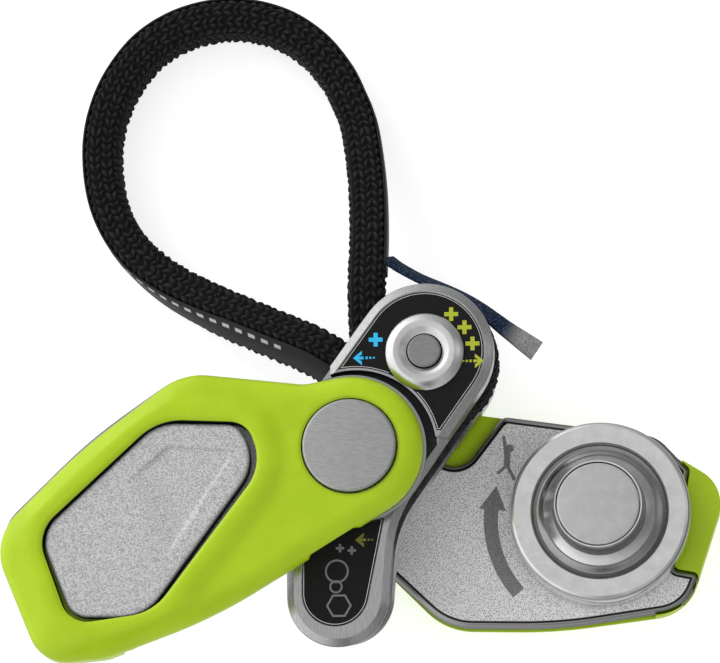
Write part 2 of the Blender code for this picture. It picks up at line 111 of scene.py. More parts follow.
SLING_ROUTE = [(2.9, 29.5, 20.7), (2.6, 36, 20.3), (2.4, 43.3, 19), (2.5, 56.6, 15.5), (1.7, 70.2, 11.5),
               (-0.4, 84.1, 8), (-2.8, 90.9, 7), (-6.2, 97.8, 6.2), (-12.3, 105.2, 5.8), (-20.8, 110.6, 5.6),
               (-31.5, 112.9, 5.6), (-42.5, 111.2, 5.6), (-51.7, 106.2, 5.6), (-58, 98.8, 5.6),
               (-61.9, 90.5, 5.6), (-63.6, 81.2, 5.6), (-62.8, 70.6, 5.8), (-59.9, 61.8, 6.5),
               (-54.7, 54, 7.4), (-46, 46.1, 9.2), (-35, 39.2, 12.4), (-22.9, 33, 16), (-11, 27.2, 19.2),
               (-4.4, 23, 20.5), (1.0, 19.8, 20.7)]
TAB_ROUTE = [(7.2, 49.3, 19.6), (10.5, 46.7, 20.6), (15.4, 43.8, 21.3), (20.5, 41.5, 21.4), (25.5, 39, 21.1),
             (30.4, 35.8, 20.7), (35.5, 31.7, 20.2), (40, 28.4, 19.4), (43.2, 26.1, 18.6)]
# Turn of a strap in degrees, by the share of its route.
SLING_LEAN = ([0, 0.74, 0.86, 1], [0, 0, -24, -28])
TAB_LEAN = (np.linspace(0, 1, 7), [30, 28, 28, 32, 38, 50, 68])


# ---- materials ----

def material(name, roughness, metallic=0.0, **sockets):
    """A node material, with uniform values set on its Principled shader."""
    mat = bpy.data.materials.new(name)
    mat.use_nodes = True
    for socket, value in dict(sockets, Roughness=roughness, Metallic=metallic).items():
        socket_of(mat, socket.replace("_", " ")).default_value = value
    return mat


def socket_of(mat, name):
    """An input of the material's Principled shader."""
    return mat.node_tree.nodes["Principled BSDF"].inputs[name]


def node(owner, kind, inputs=None, **settings):
    """A node in a material or world, with its settings and its inputs: values or other nodes' outputs."""
    made = owner.node_tree.nodes.new(kind)
    for key, value in settings.items():
        setattr(made, key, value)
    for key, value in (inputs or {}).items():
        if isinstance(value, bpy.types.NodeSocket):
            owner.node_tree.links.new(value, made.inputs[key])
        else:
            made.inputs[key].default_value = value
    return made


def calc(owner, operation, *values):
    """The result of one sum on values or other nodes' outputs."""
    return node(owner, "ShaderNodeMath", dict(enumerate(values)), operation=operation).outputs[0]


def own_place(mat):
    """Where a point lies on its object, in metres."""
    return node(mat, "ShaderNodeTexCoord").outputs["Object"]


def attribute(mat, name):
    """A number stored on the mesh's points."""
    return node(mat, "ShaderNodeAttribute", attribute_name=name).outputs["Fac"]


def noise(mat, size, detail=2.0, rough=0.5, stretch=None):
    """Noise with features of about this size in mm; stretch scales each axis."""
    coords = own_place(mat)
    if stretch:
        coords = node(mat, "ShaderNodeMapping", {"Vector": coords, "Scale": stretch}).outputs["Vector"]
    return node(mat, "ShaderNodeTexNoise", {"Vector": coords, "Scale": 1.0 / (size * MM), "Detail": detail,
                                            "Roughness": rough}).outputs["Fac"]


def ramp(mat, value, stops, smooth=False):
    """Colour ramp through (position, colour) stops; a colour may be one grey level."""
    made = node(mat, "ShaderNodeValToRGB", {"Fac": value})
    band = made.color_ramp
    band.interpolation = 'EASE' if smooth else 'LINEAR'
    while len(band.elements) < len(stops):
        band.elements.new(0.5)
    for element, (position, colour) in zip(band.elements, stops):
        element.position = position
        element.color = (*colour, 1) if isinstance(colour, tuple) else (colour, colour, colour, 1)
    return made.outputs["Color"]


def mixed(mat, factor, a, b, blend='MIX'):
    """Mix of a and b, each a colour or another node's output."""
    a, b = (c if isinstance(c, bpy.types.NodeSocket) else (*c, 1) for c in (a, b))
    return node(mat, "ShaderNodeMix", {0: factor, 6: a, 7: b}, data_type='RGBA', blend_type=blend).outputs[2]


def link(mat, output, socket):
    mat.node_tree.links.new(output, socket_of(mat, socket))


def bump(mat, height, depth):
    """Bump of this depth in mm."""
    made = node(mat, "ShaderNodeBump", {"Height": height, "Strength": 1.0, "Distance": depth * MM})
    link(mat, made.outputs["Normal"], "Normal")


def green_plastic():
    mat = material("lime_plastic", 0.3, Coat_Weight=0.12, Coat_Roughness=0.12, Specular_IOR_Level=0.35)
    tone = ramp(mat, noise(mat, 9.0, 3), [(0.35, (0.41, 0.6, 0.006)), (0.65, (0.45, 0.64, 0.009))])
    link(mat, tone, "Base Color")
    link(mat, ramp(mat, noise(mat, 2.5, 3), [(0.35, 0.26), (0.7, 0.36)]), "Roughness")
    bump(mat, noise(mat, 0.9), 0.004)
    return mat


# A near-black material set where shade falls: window and pad walls, the arm's recess and the pocket round each
# inlay. It is painted shade.
def painted_shade_material():
    mat = material("painted_gap_shade", 0.6)
    link(mat, ramp(mat, noise(mat, 1.5), [(0.3, 0.008), (0.7, 0.02)]), "Base Color")
    return mat


def dots(mat, spacing, size):
    """1 between scattered round dots of random size, 0 on them."""
    cells = node(mat, "ShaderNodeTexVoronoi", {"Vector": own_place(mat), "Scale": 1.0 / (spacing * MM)},
                 voronoi_dimensions='2D')
    shrunk = calc(mat, 'MULTIPLY_ADD', cells.outputs["Color"], -size, cells.outputs["Distance"])
    return ramp(mat, calc(mat, 'ADD', shrunk, 0.5), [(0.46, 0.0), (0.56, 1.0)])


def speckled_plate():
    """Sand-blasted metal with dark pits, and a smooth edge that ends in a line of painted shade."""
    mat = material("blasted_plate", 0.55, 0.2)
    pits = dots(mat, 0.42, 0.36)
    light = ramp(mat, noise(mat, 0.3, 3.0), [(0.38, 0.66), (0.5, 0.95), (0.65, 1.0)])
    speckled = mixed(mat, pits, (0.24, 0.24, 0.24), light)
    edge = attribute(mat, "edge")
    # The dark line near the inner end of the smooth edge is painted shade.
    rim = ramp(mat, edge, [(0.0, 0.4), (0.105, 0.4), (0.118, 0.02), (0.155, 0.02), (0.175, 0.5)])
    inside_rim = ramp(mat, edge, [(0.16, 0.0), (0.178, 1.0)])
    link(mat, mixed(mat, inside_rim, rim, speckled), "Base Color")
    link(mat, ramp(mat, inside_rim, [(0.0, 0.3), (1.0, 0.6)]), "Roughness")
    link(mat, ramp(mat, inside_rim, [(0.0, 1.0), (1.0, 0.2)]), "Metallic")
    bump(mat, pits, 0.015)
    return mat


def blasted_pad():
    mat = material("blasted_pad", 0.55, 0.6)
    grain = noise(mat, 0.34)
    link(mat, ramp(mat, grain, [(0.36, 0.42), (0.5, 0.64), (0.62, 0.8)]), "Base Color")
    bump(mat, grain, 0.09)
    return mat


def engraved():
    mat = material("engraved_grey", 0.7, 0.2)
    link(mat, mixed(mat, dots(mat, 0.42, 0.4), (0.08, 0.08, 0.08), (0.27, 0.27, 0.27)), "Base Color")
    return mat


def brushed(name, tone, roughness, stretch):
    """Brushed metal, with its streaks along the axis that stretch makes small."""
    mat = material(name, roughness, 1.0)
    streaks = noise(mat, 0.35, 3.0, 0.6, stretch)
    link(mat, ramp(mat, streaks, [(0.3, tone * 0.86), (0.7, min(1.0, tone * 1.1))]), "Base Color")
    link(mat, ramp(mat, noise(mat, 3.0, 3.0), [(0.3, roughness * 0.85), (0.7, roughness * 1.2)]), "Roughness")
    bump(mat, streaks, 0.004)
    return mat


def turned_metal(name, tone, roughness, anisotropy, shade_rings=None):
    """Lathe-turned metal: highlights that fan out from the axis, and cloudy tones.

    Its last argument paints shade onto rings of it, with ramp stops by the radius as a share of the shade ring
    span set at the top.
    """
    mat = material(name, roughness, 1.0, Anisotropic=anisotropy)
    tangent = node(mat, "ShaderNodeTangent", direction_type='RADIAL', axis='Z').outputs["Tangent"]
    link(mat, tangent, "Tangent")
    cloud_and_shade = ramp(mat, noise(mat, 3.2, 4.0, 0.65), [(0.3, tone * 0.9), (0.7, min(1.0, tone * 1.06))])
    # Painted shade: rings darkened by their radius.
    if shade_rings:
        flat = node(mat, "ShaderNodeVectorMath", {0: own_place(mat), 1: (1, 1, 0)},
                    operation='MULTIPLY').outputs[0]
        radius = node(mat, "ShaderNodeVectorMath", {0: flat}, operation='LENGTH').outputs["Value"]
        share = calc(mat, 'MULTIPLY', radius, 1 / (SHADE_RING_SPAN * MM))
        cloud_and_shade = mixed(mat, 1.0, cloud_and_shade, ramp(mat, share, shade_rings), 'MULTIPLY')
    link(mat, cloud_and_shade, "Base Color")
    link(mat, ramp(mat, noise(mat, 0.5, 3.0), [(0.3, roughness * 0.85), (0.7, roughness * 1.2)]), "Roughness")
    return mat


def black_inlay():
    mat = material("black_inlay", 0.6, Specular_IOR_Level=0.12)
    link(mat, ramp(mat, noise(mat, 0.4), [(0.3, 0.008), (0.7, 0.016)]), "Base Color")
    bump(mat, noise(mat, 0.25), 0.01)
    return mat


def paint(name, colour):
    mat = material(name, 0.5)
    dim = tuple(c * 0.82 for c in colour)
    link(mat, ramp(mat, noise(mat, 0.3), [(0.35, dim), (0.6, colour)]), "Base Color")
    return mat


def yarn():
    """Black knitted yarn, darker in the hollows between stitches and lighter on their crowns: painted shade and
    highlight.
    """
    mat = material("black_yarn", 0.8, Sheen_Weight=0.12, Sheen_Roughness=0.4, Specular_IOR_Level=0.3)
    # Painted shade and highlight: darker where a stitch is low, lighter on its crown.
    tone = ramp(mat, attribute(mat, "crown"), [(0.25, 0.0015), (0.65, 0.006), (1.0, 0.018)])
    flecks = ramp(mat, noise(mat, 0.25, 3.0, 0.7), [(0.4, 0.5), (0.58, 1.2), (0.72, (7.0, 7.0, 7.2))])
    link(mat, mixed(mat, 1.0, tone, flecks, 'MULTIPLY'), "Base Color")
    bump(mat, noise(mat, 0.16), 0.05)
    return mat


def tape():
    """Dark woven tape, printed with a row of plain pale dashes along one stretch."""
    mat = material("dark_tape", 0.5, Specular_IOR_Level=0.3)
    cloth = ramp(mat, noise(mat, 0.3), [(0.3, 0.006), (0.7, 0.02)])
    along = attribute(mat, "along")
    bars = ramp(mat, calc(mat, 'FRACT', calc(mat, 'MULTIPLY', along, 62.0)),
                [(0.2, 0.0), (0.24, 1.0), (0.72, 1.0), (0.76, 0.0)])
    run = ramp(mat, along, [(0.66, 0.0), (0.661, 1.0), (0.93, 1.0), (0.931, 0.0)])
    row = ramp(mat, calc(mat, 'ADD', attribute(mat, "up"), 0.5),
               [(0.62, 0.0), (0.66, 1.0), (0.8, 1.0), (0.84, 0.0)])
    mask = calc(mat, 'MULTIPLY', calc(mat, 'MULTIPLY', bars, run), row)
    link(mat, mixed(mat, mask, cloth, (0.45, 0.45, 0.45)), "Base Color")
    bump(mat, noise(mat, 0.2, 2.0, 0.5, (1, 1, 3)), 0.03)
    return mat


def label_cloth():
    """Navy label tape with blue threads, turning silver grey towards its end."""
    mat = material("label_cloth", 0.7, Specular_IOR_Level=0.2)
    threads = ramp(mat, noise(mat, 0.45, 3.0, 0.7), [(0.45, (0.003, 0.005, 0.012)), (0.58, (0.015, 0.03, 0.08)),
                                                     (0.7, (0.1, 0.2, 0.42))])
    streaks = ramp(mat, noise(mat, 0.3, 3.0, 0.6, (0.35, 1, 1)), [(0.3, 0.14), (0.7, 0.45)])
    fade = ramp(mat, attribute(mat, "along"), [(0.76, 0.0), (0.9, 1.0)], True)
    link(mat, mixed(mat, fade, threads, streaks), "Base Color")
    bump(mat, noise(mat, 0.2), 0.04)
    return mat


# ---- shapes ----

def belt(discs, inset=0.0, step=4.0):
    """Points of the belt that runs round these discs, shrunk by inset."""
    discs = [(x, y, r - inset) for x, y, r in discs]
    count = len(discs)
    headings = []
    for i, (x, y, r) in enumerate(discs):
        nx, ny, nr = discs[(i + 1) % count]
        reach = math.hypot(nx - x, ny - y)
        headings.append(math.atan2(ny - y, nx - x) - math.asin((nr - r) / reach))
    points = []
    for i, (x, y, r) in enumerate(discs):
        start = headings[i - 1]
        turn = (headings[i] - start) % (2 * math.pi)
        if r < 0:
            turn -= 2 * math.pi
        steps = max(1, round(abs(math.degrees(turn)) / step), round(abs(turn * r) / 2.5))
        for k in range(steps + 1):
            heading = start + turn * k / steps
            points.append((x + r * math.sin(heading), y - r * math.cos(heading)))
    return points


def resampled(loop, spacing):
    """The closed loop with extra points on its long straight runs."""
    out = []
    for a, b in zip(loop, loop[1:] + loop[:1]):
        steps = max(1, math.ceil(math.dist(a, b) / spacing))
        out += [(a[0] + (b[0] - a[0]) * k / steps, a[1] + (b[1] - a[1]) * k / steps) for k in range(steps)]
    return out


def circle(radius, at=(0, 0), sides=96):
    angles = [2 * math.pi * k / sides for k in range(sides)]
    return [(at[0] + radius * math.cos(a), at[1] + radius * math.sin(a)) for a in angles]


def inside(points, loop):
    """Distance from each point to a closed loop, positive inside it."""
    p = np.asarray(points, float)[:, None, :]
    a = np.asarray(loop, float)
    b = np.roll(a, -1, axis=0)
    run = b - a
    t = np.clip(((p - a) * run).sum(2) / ((run**2).sum(1) + 1e-12), 0, 1)
    far = np.linalg.norm(p - (a + run * t[..., None]), axis=2).min(1)
    x, y = p[:, :, 0], p[:, :, 1]
    with np.errstate(divide="ignore", invalid="ignore"):
        cross = ((a[:, 1] > y) != (b[:, 1] > y)) & (x < run[:, 0] * (y - a[:, 1]) / run[:, 1] + a[:, 0])
    return np.where(cross.sum(1) % 2 == 1, far, -far)


def turn_points(points, degrees):
    """Points turned about the main pivot."""
    c, s = math.cos(math.radians(degrees)), math.sin(math.radians(degrees))
    p = np.asarray(points, float)
    p[:, 0], p[:, 1] = p[:, 0] * c - p[:, 1] * s, p[:, 0] * s + p[:, 1] * c
    return p


def placed(points, angle, rear):
    """Points in mm of the front half's own frame, mirrored in the middle plane if rear, then turned."""
    points = np.array(points, float)
    if rear:
        points[:, 2] = STACK - points[:, 2]
    return turn_points(points, angle)


def settle(obj, angle, rear):
    """Moves a finished mesh from the front half's own frame to its place."""
    points = placed([v.co / MM for v in obj.data.vertices], angle, rear)
    for v, p in zip(obj.data.vertices, points):
        v.co = Vector(p) * MM
    if rear:
        obj.data.flip_normals()


def store(obj, name, values):
    """Keeps a number on each point of the mesh, for its material."""
    layer = obj.data.attributes.new(name, 'FLOAT', 'POINT')
    layer.data.foreach_set("value", np.asarray(values, np.float32))


def added(name, data):
    """A new object in the scene."""
    obj = bpy.data.objects.new(name, data)
    bpy.context.scene.collection.objects.link(obj)
    return obj


def mesh_object(name, verts, faces, mats, angle=0.0, rear=False, sharp=22, facing=True):
    """An object from points in mm; facing puts its normals right, and sharp is the angle of its edges."""
    points = placed(verts, angle, rear)
    mesh = bpy.data.meshes.new(name)
    mesh.from_pydata([tuple(p) for p in points * MM], [], faces)
    if facing:
        bm = bmesh.new()
        bm.from_mesh(mesh)
        bmesh.ops.remove_doubles(bm, verts=bm.verts, dist=1e-7)
        bmesh.ops.recalc_face_normals(bm, faces=bm.faces)
        bm.to_mesh(mesh)
        bm.free()
    elif rear:
        mesh.flip_normals()
    for mat in mats if isinstance(mats, (list, tuple)) else [mats]:
        mesh.materials.append(mat)
    mesh.shade_smooth()
    mesh.set_sharp_from_angle(angle=math.radians(sharp))
    return added(name, mesh)


def tube_faces(rings, count):
    """Faces of a stack of rings with count points each, closed at both ends."""
    faces = [(r * count + i, r * count + (i + 1) % count, (r + 1) * count + (i + 1) % count,
              (r + 1) * count + i) for r in range(rings - 1) for i in range(count)]
    return faces + [tuple(range(count - 1, -1, -1)), tuple((rings - 1) * count + i for i in range(count))]


def loft(name, discs, levels, mats, angle=0.0, rear=False):
    """A closed stack of insets of one outline: levels are (inset, z) from the bottom up."""
    first, last = levels[0], levels[-1]
    levels = [(first[0] + 0.4, first[1])] + levels + [(last[0] + 0.4, last[1])]
    rings = [[(x, y, z) for x, y in belt(discs, inset)] for inset, z in levels]
    count = len(rings[0])
    assert all(len(ring) == count for ring in rings), name
    verts = [p for ring in rings for p in ring]
    return mesh_object(name, verts, tube_faces(len(rings), count), mats, angle, rear)


def turned(name, profile, mats, at=(0, 0), rear=False, sides=120, angle=0.0):
    """A lathe-turned piece from (radius, z) points; its object stands on its own axis."""
    verts, rings = [], []
    for radius, z in profile:
        start = len(verts)
        if radius == 0:
            verts.append((0, 0, z))
            rings.append([start] * sides)
        else:
            verts += [(x, y, z) for x, y in circle(radius, sides=sides)]
            rings.append(list(range(start, start + sides)))
    if profile[0][0]:
        rings.append(rings[0])
    faces = []
    for low, high in zip(rings, rings[1:]):
        for i in range(sides):
            j = (i + 1) % sides
            corners = tuple(dict.fromkeys((low[i], low[j], high[j], high[i])))
            if len(corners) > 2:
                faces.append(corners)
    obj = mesh_object(name, verts, faces, mats, 0.0, rear)
    centre = turn_points([at], angle)[0]
    obj.location = (centre[0] * MM, centre[1] * MM, 0)
    return obj


def field(name, outline, height, low, mats, rings, holes=(), grid=1.3, angle=0.0, rear=False, wall_mat=None,
          lines=()):
    """A closed piece with a shaped face: height(x, y, edge) over an outline with holes, flat at low.

    rings are the insets with a line of mesh points, holes are (discs or [(radius,)], rings), and lines are
    more loops to follow. wall_mat is for the first hole's wall, or the outer wall if there are no holes.
    """
    edge_loop = resampled(belt(outline), 2.0)
    loops = [resampled(belt(outline, inset), 2.0) for inset in rings]
    hole_loops = []
    for shape, hole_rings in holes:
        hole_loops.append([resampled(belt(shape, -inset), 2.0) if len(shape) > 1
                           else circle(shape[0][0] + inset) for inset in hole_rings])
    every = loops + [loop for made in hole_loops for loop in made] + list(lines)
    pts = np.array([p for loop in every for p in loop])
    (west, south), (east, north) = pts.min(0), pts.max(0)
    xs = np.arange(west, east, grid)
    ys = np.arange(south, north, grid * 0.866)
    mesh_pts = np.array([(x + (grid / 2 if j % 2 else 0), y) for j, y in enumerate(ys) for x in xs])
    keep = inside(mesh_pts, loops[-1]) > grid * 0.45
    for made in hole_loops:
        keep &= inside(mesh_pts, made[-1]) < -grid * 0.45
    coords = [Vector(p) for p in pts] + [Vector(p) for p in mesh_pts[keep]]
    edges, start = [], 0
    for loop in every:
        n = len(loop)
        edges += [(start + i, start + (i + 1) % n) for i in range(n)]
        start += n
    flat, _, tris = delaunay_2d_cdt(coords, edges, [], 0, 1e-5)[:3]
    flat = np.array([tuple(p) for p in flat])
    centres = np.array([flat[list(t)].mean(0) for t in tris])
    ok = inside(centres, edge_loop) > 0
    for made in hole_loops:
        ok &= inside(centres, made[0]) < 0
    tris = [tuple(t) for t, good in zip(tris, ok) if good]
    edge = inside(flat, edge_loop)
    top = height(flat[:, 0], flat[:, 1], edge)
    n = len(flat)
    verts = [(x, y, z) for (x, y), z in zip(flat, top)] + [(x, y, low) for x, y in flat]
    used = {}
    for t in tris:
        for a, b in ((t[0], t[1]), (t[1], t[2]), (t[2], t[0])):
            key = (min(a, b), max(a, b))
            used[key] = None if key in used else (a, b)
    walls = [(b, a, a + n, b + n) for a, b in filter(None, used.values())]
    faces = tris + [tuple(i + n for i in reversed(t)) for t in tris] + walls
    obj = mesh_object(name, verts, faces, mats, angle, rear, sharp=40, facing=False)
    mesh = obj.data
    if wall_mat is not None:
        for poly in mesh.polygons[2 * len(tris):]:
            middle = np.mean([flat[v % n] for v in poly.vertices], axis=0)
            if not hole_loops or abs(inside([middle], hole_loops[0][0])[0]) < 0.05:
                poly.material_index = wall_mat
    store(obj, "edge", np.concatenate([edge, edge]) / 10.0)
    bm = bmesh.new()
    bm.from_mesh(mesh)
    bmesh.ops.delete(bm, geom=[v for v in bm.verts if not v.link_faces], context='VERTS')
    bm.to_mesh(mesh)
    bm.free()
    return obj


def cut(obj, cutter, operation='DIFFERENCE'):
    """Cuts obj with another mesh, or joins them, and removes the other."""
    modifier = obj.modifiers.new("cut", 'BOOLEAN')
    modifier.operation = operation
    modifier.solver = 'EXACT'
    modifier.material_mode = 'TRANSFER'
    modifier.object = cutter
    evaluated = obj.evaluated_get(bpy.context.evaluated_depsgraph_get())
    mesh = bpy.data.meshes.new_from_object(evaluated)
    obj.modifiers.remove(modifier)
    old = obj.data
    obj.data = mesh
    bpy.data.meshes.remove(old)
    bpy.data.objects.remove(cutter)
    mesh.shade_smooth()
    mesh.set_sharp_from_angle(angle=math.radians(20))
    return obj


def rod(radius, low, high, mat, at=(0, 0), sides=96):
    return turned("rod", [(0, low), (radius, low), (radius, high), (0, high)], mat, at, sides=sides)


def hole(obj, *sizes):
    """Cuts a hole, with the sizes of a rod."""
    cut(obj, rod(*sizes))


def box(low, high, mat):
    corners = [(x, y, z) for x in (low[0], high[0]) for y in (low[1], high[1]) for z in (low[2], high[2])]
    faces = [(0, 1, 3, 2), (4, 6, 7, 5), (0, 4, 5, 1), (2, 3, 7, 6), (0, 2, 6, 4), (1, 5, 7, 3)]
    return mesh_object("box", corners, faces, mat)


def joined(obj, *others):
    """Adds the others' meshes to obj, with their materials."""
    bm = bmesh.new()
    bm.from_mesh(obj.data)
    mats = obj.data.materials
    for each in others:
        each.data.transform(obj.matrix_world.inverted() @ each.matrix_world)
        for mat in each.data.materials:
            if mat.name not in mats:
                mats.append(mat)
        for poly in each.data.polygons:
            poly.material_index = mats.find(each.data.materials[poly.material_index].name)
        bm.from_mesh(each.data)
    bm.to_mesh(obj.data)
    bm.free()
    for each in others:
        bpy.data.objects.remove(each)
    return obj


def slab(name, outlines, low, high, mat):
    """Thin flat figures from low to high, each a hair above the one before where they cross."""
    verts, faces = [], []
    for index, outline in enumerate(outlines):
        area = sum(a[0] * b[1] - a[1] * b[0] for a, b in zip(outline, outline[1:] + outline[:1]))
        if area < 0:
            outline = outline[::-1]
        n, start, top = len(outline), len(verts), high + 0.002 * index
        verts += [(x, y, low) for x, y in outline] + [(x, y, top) for x, y in outline]
        faces.append(tuple(start + i for i in reversed(range(n))))
        faces.append(tuple(start + n + i for i in range(n)))
        faces += [(start + i, start + (i + 1) % n, start + n + (i + 1) % n, start + n + i) for i in range(n)]
    return mesh_object(name, verts, faces, mat, facing=False)


def stroke(points, width):
    """Outlines of a round-ended line through these points: one capsule per run."""
    out = []
    for (ax, ay), (bx, by) in zip(points, points[1:]):
        heading = math.atan2(by - ay, bx - ax)
        ring = []
        for centre, start in (((bx, by), heading - math.pi / 2), ((ax, ay), heading + math.pi / 2)):
            for k in range(7):
                a = start + math.pi * k / 6
                ring.append((centre[0] + width / 2 * math.cos(a), centre[1] + width / 2 * math.sin(a)))
        out.append(ring)
    return out


def plus(x, y, size, width):
    s, w = size / 2, width / 2
    return [(x + a, y + b) for a, b in ((-w, -s), (w, -s), (w, -w), (s, -w), (s, w), (w, w), (w, s), (-w, s),
                                        (-w, w), (-s, w), (-s, -w), (-w, -w))]


def dashed_arrow(x, y, length, facing):
    """A short arrow with swept barbs and square dashes behind it; facing is 1 for right and -1 for left."""
    head = [(length, 0), (length - 2.1, 1.75), (length - 2.1, 0.8), (length - 1.25, 0.34), (length - 2.5, 0.34),
            (length - 2.5, -0.34), (length - 1.25, -0.34), (length - 2.1, -0.8), (length - 2.1, -1.75)]
    shapes = [head]
    for index, middle in enumerate((0.15, 1.0, 1.85)):
        w, h = 0.24, 0.2 + 0.06 * index
        shapes.append([(middle - w, -h), (middle + w, -h), (middle + w, h), (middle - w, h)])
    return [[(x + facing * a, y + b) for a, b in shape] for shape in shapes]


def distances(route):
    """How far along the route each of its points is."""
    return np.concatenate([[0], np.cumsum(np.linalg.norm(np.diff(route, axis=0), axis=1))])


def smooth_route(points, spacing):
    """Points at even spacing on the smooth curve through these points."""
    pts = [np.array(p, float) for p in points]
    pts = [2 * pts[0] - pts[1]] + pts + [2 * pts[-1] - pts[-2]]
    fine = []
    for before, start, end, after in zip(pts, pts[1:], pts[2:], pts[3:]):
        bend = 2 * before - 5 * start + 4 * end - after
        twist = 3 * start - before - 3 * end + after
        for t in np.linspace(0, 1, 24, endpoint=False):
            fine.append(0.5 * (2 * start + (end - before) * t + bend * t**2 + twist * t**3))
    fine = np.array(fine + [pts[-2]])
    along = distances(fine)
    stations = np.linspace(0, along[-1], max(2, round(along[-1] / spacing) + 1))
    return np.stack([np.interp(stations, along, fine[:, k]) for k in range(3)], axis=1)


def section_points(thickness, width, radius, count):
    """count points evenly spaced round a rounded rectangle, each with its outward direction."""
    straight = [width - 2 * radius, thickness - 2 * radius] * 2
    arc = math.pi * radius / 2
    total = sum(straight) + 4 * arc
    out = []
    for k in range(count):
        # From the middle of the outer side, anticlockwise: four straight runs with an arc after each.
        s = (k / count * total + straight[0] / 2) % total
        x, y, heading = thickness / 2, -(width / 2 - radius), math.pi / 2
        for run in straight:
            step = min(s, run)
            x, y = x + step * math.cos(heading), y + step * math.sin(heading)
            normal = (math.sin(heading), -math.cos(heading))
            if s <= run:
                break
            s -= run
            cx, cy = x - radius * math.sin(heading), y + radius * math.cos(heading)
            a = heading - math.pi / 2 + min(s, arc) / radius
            normal = (math.cos(a), math.sin(a))
            x, y = cx + radius * normal[0], cy + radius * normal[1]
            if s <= arc:
                break
            s -= arc
            heading += math.pi / 2
        out.append((x, y, *normal))
    return out


def swept_rings(route, section, lean=None):
    """Rings of the section along the route, with its width upright, and each point's outward direction."""
    rings, normals = [], []
    for i, point in enumerate(route):
        ahead = Vector(route[min(i + 1, len(route) - 1)] - route[max(i - 1, 0)]).normalized()
        across = ahead.cross(Vector((0, 0, 1))).normalized()
        upright = across.cross(ahead).normalized()
        if lean is not None:
            spin = Matrix.Rotation(math.radians(lean[i]), 3, ahead)
            across, upright = spin @ across, spin @ upright
        rings.append([Vector(point) + across * s[0] + upright * s[1] for s in section])
        normals.append([across * s[2] + upright * s[3] for s in section] if len(section[0]) > 2 else None)
    return rings, normals


def knitted(name, route, thickness, width, radius, mat, columns, pitch=2.2, depth=0.95, lean=None):
    """A strap with knitted stitches raised on it: columns of Vs all round, each with two slanting legs."""
    per = 10
    section = section_points(thickness, width, radius, columns * per)
    rings, normals = swept_rings(route, section, lean)
    verts, crown = [], []
    for ring, out, s in zip(rings, normals, distances(route)):
        for k, (point, normal) in enumerate(zip(ring, out)):
            leg = abs(2 * ((k / per) % 1.0) - 1)
            column = int(k / per)
            wobble = 0.12 * math.sin(s * 0.7 + column * 2.1) + 0.1 * math.sin(s * 1.9 + column * 4.3)
            stitch = 0.5 + 0.5 * math.cos(2 * math.pi * (s / pitch + 0.6 * leg + 0.35 * column + wobble))
            rise = stitch**0.6 * (0.3 + 0.7 * math.sin(math.pi * leg) ** 0.5)
            verts.append(tuple(point + normal * (depth * (rise - 0.6))))
            crown.append(rise)
    obj = mesh_object(name, verts, tube_faces(len(rings), len(section)), mat, sharp=180, facing=False)
    # The crown height also drives the yarn's painted shade and highlight.
    store(obj, "crown", crown)
    return obj


def shown(obj, body, slot, *nodes):
    """Puts a finished piece on its body and hides the CAD nodes that it stands for. slot is not used."""
    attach(obj, body)
    if nodes:
        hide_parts(*nodes)


# ---- pieces ----

GREEN = green_plastic()
PAINTED_SHADE = painted_shade_material()
PLATE_MAT = speckled_plate()
PAD_MAT = blasted_pad()
ENGRAVED = engraved()
ARM_MAT = brushed("brushed_arm", 0.52, 0.24, (1.0, 0.12, 1.0))
PIN_MAT = brushed("brushed_pin", 0.36, 0.38, (0.15, 1.0, 1.0))
FACE_MAT = brushed("brushed_face", 0.52, 0.42, (0.2, 1.0, 1.0))
BUTTON_MAT = turned_metal("turned_button", 0.7, 0.38, 0.2)
RING_MAT = turned_metal("turned_ring", 0.8, 0.2, 0.35)
# A brighter copy of the arm's brushed metal, for the thin rim round each inlay: a painted edge highlight.
HIGHLIGHT_EDGE_MAT = brushed("painted_highlight_edge", 0.9, 0.3, (1.0, 0.12, 1.0))
# The drum's darker rings at its hub wall and groove are painted shade.
DRUM_MAT = turned_metal("turned_drum", 0.86, 0.22, 0.3,
                        [(0.424, 1.0), (0.43, 0.4), (0.441, 0.4), (0.446, 1.0), (0.526, 1.0), (0.532, 0.15),
                         (0.54, 0.5), (0.63, 0.42), (0.654, 0.36), (0.66, 1.0)])
BRONZE = brushed("bearing_bronze", 0.4, 0.4, (1.0, 1.0, 0.2))
INLAY = black_inlay()
YARN = yarn()
TAPE = tape()
LABEL = label_cloth()
BLUE = paint("blue_paint", (0.03, 0.55, 1.0))
LIME = paint("lime_paint", (0.48, 0.54, 0.025))
DIM_LIME = paint("dim_lime_paint", (0.2, 0.22, 0.02))
GREY = paint("grey_paint", (0.2, 0.2, 0.21))

EDGE_RINGS = [0, 0.06, 0.2, 0.45, 0.85, 1.4, 2.1, 3.0, 4.0, 5.0]


def smoothstep(low, high, value):
    t = np.clip((value - low) / (high - low), 0, 1)
    return t * t * (3 - 2 * t)


def fade(distance, span):
    """1 at no distance, falling evenly to 0 at the span."""
    return 1 - np.clip(distance / span, 0, 1)


def rounding(edge, radius):
    """How far a rounded edge has fallen, as a share."""
    return 1 - np.sqrt(1 - fade(edge, radius) ** 2)


def cover_height(x, y, edge):
    """The moulded cover: a level rim round the window, a lower hub end and a long outer slope."""
    pts = np.stack([x, y], axis=1)
    window = -inside(pts, belt(WINDOW, 0, 6.0))
    hub = np.hypot(x, y)
    surface = STACK - 1.15 * smoothstep(2.3, 7.5, window) - 0.5 * fade(window, 1.3) ** 2
    surface -= 0.3 * (1 - smoothstep(0.0, 0.6, hub - DISC_R - DISC_GAP))
    return surface - 1.7 * fade(edge, 4.2) ** 1.5 - 2.2 * rounding(edge, 1.7)


